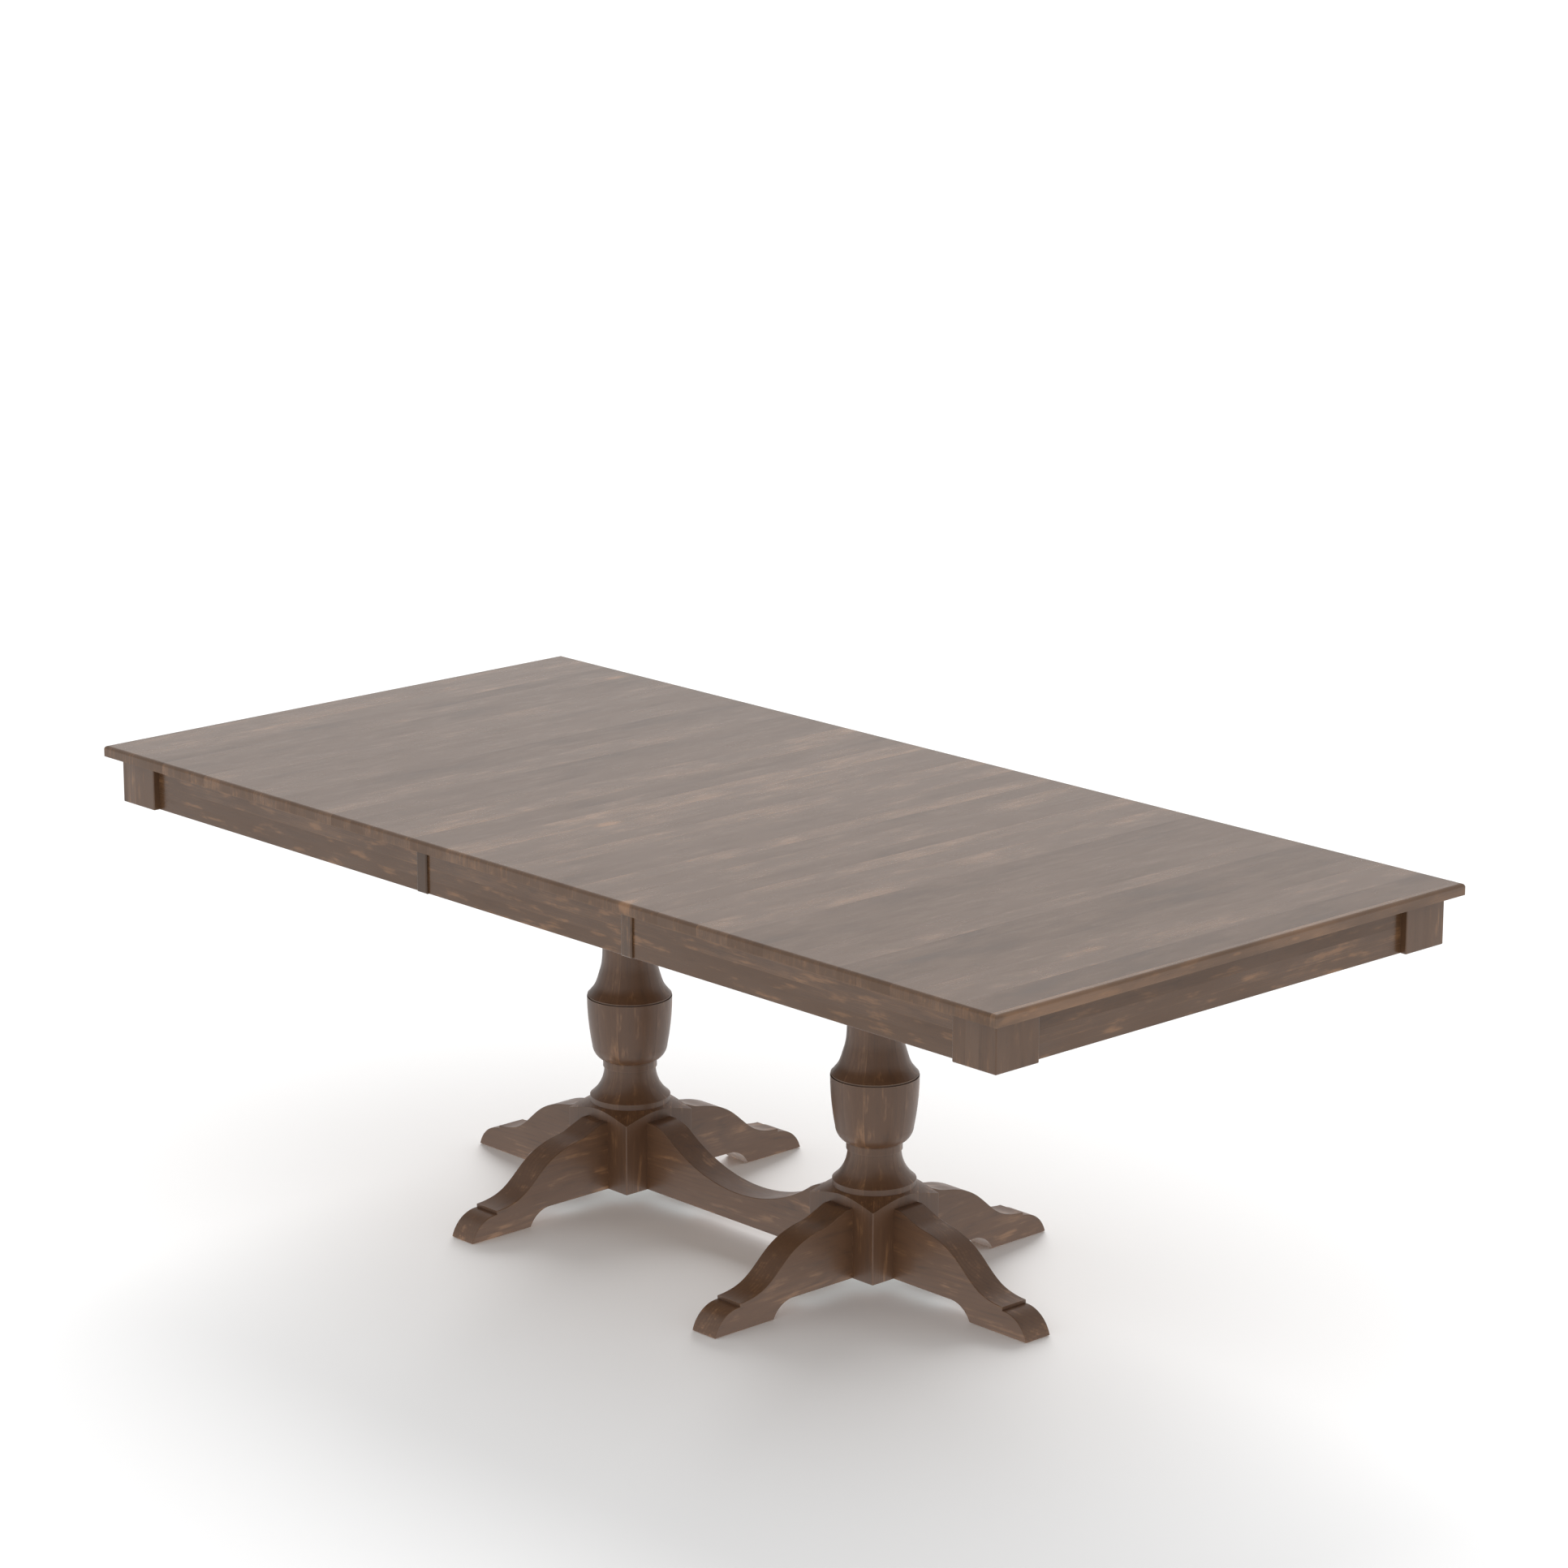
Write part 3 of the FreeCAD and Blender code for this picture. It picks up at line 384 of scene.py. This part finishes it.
    # sawn ends: the staves differ less, soak up a warmer tone and their fibres stand upright
    facing = calc(group, "ABSOLUTE", splitVector(group, given["Facing"])[0])
    upright = calc(group, "ADD", swing(group, board, *setup["upright"]), setup["endTone"])
    sawn = calc(group, "MULTIPLY_ADD", luck, setup["endSpread"], upright)
    sawn = calc(group, "MULTIPLY", ramp(group, facing, *setup["endFacing"]), sawn)
    # all of it added up to one tone from dark to light
    layers = {
        "luck": luck, "streak": streak, "mottle": mottle, "blotch": blotch, "fibre": fibre, "fleck": fleck,
        "seam": seam, "knot": knot, "pore": pore, "sawn": sawn,
    }
    tone = addUp(group, 0.5, layers, {
        "luck": given["Tone Spread"], "streak": given["Streaks"], "mottle": given["Mottle"],
        "blotch": given["Blotches"], "fibre": given["Fibres"], "fleck": given["Flecks"],
        "seam": setup["seamTone"], "knot": given["Knots"], "pore": setup["poreTone"],
        "sawn": given["End Grain"],
    })
    tone = calc(group, "SUBTRACT", tone, calc(group, "MULTIPLY", ring, given["Figure"]))
    colour = mixValues(group, ramp(group, tone, 0.0, 0.5), given["Dark"], given["Mid"])
    colour = mixValues(group, ramp(group, tone, 0.5, 1.0), colour, given["Light"])
    feed(group, result["Color"], colour)
    # the lacquer lies glossier on some staves and dips into the grain
    feed(group, result["Roughness"], addUp(group, given["Sheen"], layers, setup["gloss"]))
    coat = addUp(group, setup["coatStart"], layers, setup["coat"])
    feed(group, result["Lacquer"], calc(group, "MAXIMUM", coat, 0.0))
    feed(group, result["Height"], addUp(group, 0.0, layers, setup["relief"]))
    return group


# bands of a turned column run up its outline; on the square post they run straight up
def makeTurnedGrain():
    group, given, result = startGroup("turnedGrain", {
        "Vector": "", "Band Radius": 0.055, "Post Top": 0.172,
    }, {"Vector": ""})
    x, y, z = splitVector(group, given["Vector"])
    around = calc(group, "MULTIPLY", calc(group, "ARCTAN2", y, x), given["Band Radius"])
    out = calc(group, "SQRT", calc(group, "MULTIPLY_ADD", x, x, calc(group, "MULTIPLY", y, y)))
    square = joinVector(group, z, calc(group, "ADD", x, y), calc(group, "SUBTRACT", x, y))
    turned = joinVector(group, z, around, out)
    above = calc(group, "GREATER_THAN", z, given["Post Top"])
    feed(group, result["Vector"], mixValues(group, above, square, turned, "VECTOR"))
    return group


# stain rubbed thin on outer edges and lightened there as a painted highlight, and painted shade darkening
# corners and creases
edgeSetup = {
    "rubHighlightReach": 0.0025,
    "cornerShadeReach": 0.005,
    "samples": 4,
    "rubHighlightEdge": (0.9, 0.35),
    "cornerShadeEdge": (0.9, 0.3),
    "patches": (14.0, 14.0, 14.0),
    "patchDetail": 3.0,
    "patchEdge": (0.35, 0.65),
    "rubHighlightInPatch": 0.7,
    "rubHighlightAllOver": 0.3,
    "polish": -0.08,
    "cornerShadeColour": (0.03, 0.014, 0.006, 1),
}


def nearEdge(tree, inside, reach, samples):
    node = tree.nodes.new("ShaderNodeAmbientOcclusion")
    node.samples = samples
    node.inside = inside
    node.only_local = True
    node.inputs["Distance"].default_value = reach
    return node.outputs["AO"]


def makeWearHighlightAndShade(setup):
    group, given, result = startGroup("wearHighlightAndShade", {
        "Color": (0.1, 0.05, 0.03, 1.0), "Roughness": 0.4, "Worn And Highlit": (0.3, 0.2, 0.13, 1.0), "Rub And Highlight": 0.5,
        "Corner Shade": 0.3,
    }, {"Color": (1.0,), "Roughness": 0.0})
    outer = nearEdge(group, True, setup["rubHighlightReach"], setup["samples"])
    inner = nearEdge(group, False, setup["cornerShadeReach"], setup["samples"])
    place = group.nodes.new("ShaderNodeTexCoord").outputs["Object"]
    patch = cloud(group, place, setup["patches"], setup["patchDetail"])
    patch = ramp(group, patch, *setup["patchEdge"])
    patch = calc(group, "MULTIPLY_ADD", patch, setup["rubHighlightInPatch"], setup["rubHighlightAllOver"])
    # outer edges lighter: partly stain rubbed thin, partly a painted highlight along the arrises
    rub = calc(group, "MULTIPLY", ramp(group, outer, *setup["rubHighlightEdge"]), given["Rub And Highlight"])
    rub = calc(group, "MULTIPLY", rub, patch)
    # corners and creases darkened towards the shade colour: painted shade
    grime = calc(group, "MULTIPLY", ramp(group, inner, *setup["cornerShadeEdge"]), given["Corner Shade"])
    colour = mixValues(group, rub, given["Color"], given["Worn And Highlit"])
    feed(group, result["Color"], mixValues(group, grime, colour, setup["cornerShadeColour"]))
    feed(group, result["Roughness"], calc(group, "MULTIPLY_ADD", rub, setup["polish"], given["Roughness"]))
    return group


stavedWood = makeStavedWood(staveSetup)
turnedGrain = makeTurnedGrain()
wearHighlightAndShade = makeWearHighlightAndShade(edgeSetup)
print("wood groups made")


# which way the grain runs, as the turn that brings it onto x
grainAlong = {"x": (-90, 0, 0), "y": (-90, -90, 0), "yFlat": (0, 0, -90), "z": (90, 0, 90)}

lacquer = {"coatRoughness": 0.2, "reliefDepth": 0.0004}

stain = {
    "dark": (0.046, 0.024, 0.0135, 1),
    "mid": (0.100, 0.052, 0.026, 1),
    "light": (0.230, 0.116, 0.052, 1),
    # colour of the lighter outer edges: worn stain and painted highlight
    "worn": (0.25, 0.16, 0.10, 1),
}
bare = {
    "dark": (0.36, 0.22, 0.11, 1),
    "mid": (0.50, 0.34, 0.19, 1),
    "light": (0.62, 0.46, 0.29, 1),
    "worn": (0.66, 0.52, 0.36, 1),
}


# coordinates of a turned piece, measured from its own axis
def latheVector(tree, place, piece):
    low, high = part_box(piece)
    centre = tree.nodes.new("ShaderNodeMapping")
    centre.inputs["Location"].default_value = (-(low[0] + high[0]) / 2, -(low[1] + high[1]) / 2, 0)
    lathe = addGroup(tree, turnedGrain)
    tree.links.new(place, centre.inputs["Vector"])
    tree.links.new(centre.outputs[0], lathe.inputs["Vector"])
    return lathe.outputs[0]


def woodFinish(name, finish):
    material, tree, shader = startMaterial(name)
    place = tree.nodes.new("ShaderNodeTexCoord")
    wood = addGroup(tree, stavedWood)
    quarterTurns = [math.radians(angle) for angle in grainAlong[finish["grain"]]]
    for output, kind, label in (("Object", "POINT", "Vector"), ("Normal", "NORMAL", "Facing")):
        mapping = tree.nodes.new("ShaderNodeMapping")
        mapping.vector_type = kind
        mapping.inputs["Rotation"].default_value = quarterTurns
        tree.links.new(place.outputs[output], mapping.inputs["Vector"])
        tree.links.new(mapping.outputs[0], wood.inputs[label])
    if "axis" in finish:
        tree.links.new(latheVector(tree, place.outputs["Object"], finish["axis"]), wood.inputs["Vector"])
    for label, value in finish["wood"].items():
        wood.inputs[label].default_value = value
    for label in ("dark", "mid", "light"):
        wood.inputs[label.title()].default_value = finish["colours"][label]
    # lighter outer edges, partly worn stain and partly painted highlight, and painted shade in corners and
    # creases
    wear = addGroup(tree, wearHighlightAndShade)
    tree.links.new(wood.outputs["Color"], wear.inputs["Color"])
    tree.links.new(wood.outputs["Roughness"], wear.inputs["Roughness"])
    wear.inputs["Worn And Highlit"].default_value = finish["colours"]["worn"]
    wear.inputs["Rub And Highlight"].default_value = finish["rub"]
    wear.inputs["Corner Shade"].default_value = finish["grime"]
    tree.links.new(wear.outputs["Color"], shader.inputs["Base Color"])
    tree.links.new(wear.outputs["Roughness"], shader.inputs["Roughness"])
    tree.links.new(wood.outputs["Lacquer"], shader.inputs["Coat Weight"])
    shader.inputs["Coat Roughness"].default_value = lacquer["coatRoughness"]
    shader.inputs["Specular IOR Level"].default_value = finish["shine"]
    addBump(tree, shader, wood.outputs["Height"], finish["bump"], lacquer["reliefDepth"])
    return material


topStaves = {
    "grain": "yFlat", "colours": stain,
    "rub": 0.25, "grime": 0.2, "bump": 0.15, "shine": 0.36,
    "wood": {"Stave Width": 0.052, "Tone Spread": 0.32, "Streaks": 0.10, "Mottle": 0.66,
             "Blotches": 0.12, "Fibres": 0.15, "Flecks": 0.16, "Knots": 0.40, "End Grain": 0.5,
             "Sheen": 0.24},
}
longApron = {
    "grain": "x", "colours": dict(stain, mid=(0.096, 0.048, 0.0228, 1)),
    "rub": 0.30, "grime": 0.3, "bump": 0.15, "shine": 0.38,
    "wood": {"Stave Width": 0.027, "Tone Spread": 0.25, "Streaks": 0.26, "Mottle": 0.32,
             "Blotches": 0.30, "Fibres": 0.30, "Flecks": 0.20, "Knots": 0.30, "Sheen": 0.24},
}
endApron = dict(longApron, grain="y")
cornerBlock = {
    "grain": "z", "colours": dict(stain, mid=(0.105, 0.053, 0.026, 1)),
    "rub": 0.35, "grime": 0.5, "bump": 0.15, "shine": 0.44,
    "wood": {"Stave Width": 0.032, "Stave Depth": 0.040, "Tone Spread": 0.22, "Streaks": 0.30,
             "Mottle": 0.35, "Blotches": 0.28, "Fibres": 0.30, "Flecks": 0.15, "Knots": 0.15,
             "Sheen": 0.24},
}
# the strip's edges take more of the painted highlight
coverStrip = dict(cornerBlock, rub=0.5, colours=dict(stain, mid=(0.072, 0.036, 0.017, 1)))
turnedColumn = {
    "grain": "z", "colours": dict(stain, mid=(0.095, 0.044, 0.0195, 1)),
    "rub": 0.35, "grime": 0.5, "bump": 0.15, "shine": 0.52,
    "wood": {"Stave Width": 0.027, "Tone Spread": 0.36, "Streaks": 0.36, "Mottle": 0.40,
             "Blotches": 0.26, "Fibres": 0.36, "Flecks": 0.12, "Knots": 0.30, "Sheen": 0.47},
}
leftColumn = dict(turnedColumn, axis="column_left")
rightColumn = dict(turnedColumn, axis="column_right")
# a stave width far over the plank's own makes it one solid board
plankAlongX = {
    "grain": "x", "colours": dict(stain, mid=(0.102, 0.0475, 0.0210, 1)),
    "rub": 0.30, "grime": 0.4, "bump": 0.12, "shine": 0.46,
    "wood": {"Stave Width": 2.0, "Tone Spread": 0.1, "Streaks": 0.36, "Mottle": 0.50,
             "Blotches": 0.26, "Fibres": 0.46, "Figure": 0.15, "Ring Gap": 0.0065, "Flecks": 0.08,
             "Knots": 0.15, "End Grain": 0.15, "Sheen": 0.47},
}
plankAlongY = dict(plankAlongX, grain="y")
slideAlongX = {
    "grain": "x", "colours": bare,
    "rub": 0.3, "grime": 0.1, "bump": 0.3, "shine": 0.4,
    "wood": {"Stave Width": 2.0, "Tone Spread": 0.1, "Streaks": 0.5, "Mottle": 0.4, "Blotches": 0.2,
             "Fibres": 0.5, "Figure": 0.25, "Ring Gap": 0.007, "Flecks": 0.1, "Knots": 0.1,
             "Sheen": 0.55},
}
slideAlongY = dict(slideAlongX, grain="y")
slideUpright = dict(slideAlongX, grain="z")


# plated or bright steel: faint brushing, cloudy plating and small specks
steelSetup = {
    "brush": ((25.0, 900.0, 900.0), 2.0, 0.6),
    "clouding": ((60.0, 60.0, 60.0), 4.0, 0.6),
    "cloudEdge": (0.42, 0.72, 0.0, 0.6),
    "specks": ((420.0, 420.0, 420.0), 2.0),
    "speckEdge": (0.62, 0.74),
    "speckStain": 0.5,
    "brushDull": 0.20,
    "stainDull": 0.15,
    "speckDepth": -0.4,
    "reliefDepth": 0.0002,
}
zincPlate = {
    "tint": (0.46, 0.46, 0.45, 1),
    "stained": (0.29, 0.28, 0.25, 1),
    "dullness": 0.32,
    "bump": 0.15,
}
cutSteel = {
    "tint": (0.40, 0.40, 0.41, 1),
    "stained": (0.22, 0.19, 0.16, 1),
    "dullness": 0.28,
    "bump": 0.25,
}


def makeBrushedSteel(setup):
    group, given, result = startGroup("brushedSteel", {
        "Vector": "", "Tint": (0.6, 0.6, 0.6, 1.0), "Stained": (0.4, 0.38, 0.34, 1.0), "Dullness": 0.35,
    }, {"Color": (1.0,), "Roughness": 0.0, "Height": 0.0})
    brush = cloud(group, given["Vector"], *setup["brush"])
    clouding = ramp(group, cloud(group, given["Vector"], *setup["clouding"]), *setup["cloudEdge"])
    speck = ramp(group, cloud(group, given["Vector"], *setup["specks"]), *setup["speckEdge"])
    share = calc(group, "MULTIPLY_ADD", speck, setup["speckStain"], clouding)
    feed(group, result["Color"], mixValues(group, share, given["Tint"], given["Stained"]))
    dull = calc(group, "MULTIPLY_ADD", brush, setup["brushDull"], given["Dullness"])
    feed(group, result["Roughness"], calc(group, "MULTIPLY_ADD", share, setup["stainDull"], dull))
    feed(group, result["Height"], calc(group, "MULTIPLY_ADD", speck, setup["speckDepth"], brush))
    return group


brushedSteel = makeBrushedSteel(steelSetup)


def steelFinish(name, finish):
    material, tree, shader = startMaterial(name)
    shader.inputs["Metallic"].default_value = 1.0
    steel = addGroup(tree, brushedSteel)
    place = tree.nodes.new("ShaderNodeTexCoord").outputs["Object"]
    tree.links.new(place, steel.inputs["Vector"])
    for label in ("tint", "stained", "dullness"):
        steel.inputs[label.title()].default_value = finish[label]
    tree.links.new(steel.outputs["Color"], shader.inputs["Base Color"])
    tree.links.new(steel.outputs["Roughness"], shader.inputs["Roughness"])
    addBump(tree, shader, steel.outputs["Height"], finish["bump"], steelSetup["reliefDepth"])
    return material


# moulded nylon: milky, finely grained and scuffed
nylonGlide = {
    "fresh": (0.62, 0.60, 0.54, 1),
    "scuffed": (0.45, 0.42, 0.36, 1),
    "scuffs": ((90.0, 90.0, 40.0), 4.0, 0.6),
    "scuffEdge": (0.45, 0.70),
    "roughness": 0.35,
    "scuffRoughness": 0.25,
    "skin": ((1500.0, 1500.0, 1500.0), 1.0),
    "bump": 0.2,
    "skinDepth": 0.0002,
}


def nylonFinish(name, finish):
    material, tree, shader = startMaterial(name)
    place = tree.nodes.new("ShaderNodeTexCoord").outputs["Object"]
    scuff = ramp(tree, cloud(tree, place, *finish["scuffs"]), *finish["scuffEdge"])
    colour = mixValues(tree, scuff, finish["fresh"], finish["scuffed"])
    tree.links.new(colour, shader.inputs["Base Color"])
    dull = calc(tree, "MULTIPLY_ADD", scuff, finish["scuffRoughness"], finish["roughness"])
    tree.links.new(dull, shader.inputs["Roughness"])
    addBump(tree, shader, cloud(tree, place, *finish["skin"]), finish["bump"], finish["skinDepth"])
    return material


woods = {
    "topStaves": topStaves,
    "longApron": longApron,
    "endApron": endApron,
    "cornerBlock": cornerBlock,
    "coverStrip": coverStrip,
    "leftColumn": leftColumn,
    "rightColumn": rightColumn,
    "plankAlongX": plankAlongX,
    "plankAlongY": plankAlongY,
    "slideAlongX": slideAlongX,
    "slideAlongY": slideAlongY,
    "slideUpright": slideUpright,
}
steels = {"zincPlate": zincPlate, "cutSteel": cutSteel}
nylons = {"nylonGlide": nylonGlide}

finishes = {}
for make, kinds in ((woodFinish, woods), (steelFinish, steels), (nylonFinish, nylons)):
    for name, finish in kinds.items():
        finishes[name] = make(name, finish)

# the finish of each piece, by the first of these words that its name holds
pieceFinish = {
    "screws": "zincPlate",
    "post_plate": "zincPlate",
    "pinion": "cutSteel",
    "glides": "nylonGlide",
    "rack_block": "slideAlongX",
    "_rack": "cutSteel",
    "glue_blocks": "slideUpright",
    "pins": "slideAlongX",
    "dowels": "slideAlongX",
    "cleats": "slideAlongY",
    "bearer": "slideAlongY",
    "gear_bridge": "slideAlongY",
    "rail": "slideAlongX",
    "runner": "slideAlongX",
    "keys": "slideAlongX",
    "end_apron": "endApron",
    "apron": "longApron",
    "corner_block": "cornerBlock",
    "batten": "coverStrip",
    "_top": "topStaves",
    "column_left": "leftColumn",
    "column_right": "rightColumn",
    "stretcher": "plankAlongX",
    "_end": "plankAlongX",
    "foot_": "plankAlongY",
}
for name, node in nodes.items():
    chosen = next(finish for word, finish in pieceFinish.items() if word in name)
    node.data.materials.clear()
    node.data.materials.append(finishes[chosen])
print("finishes set:", len(finishes))
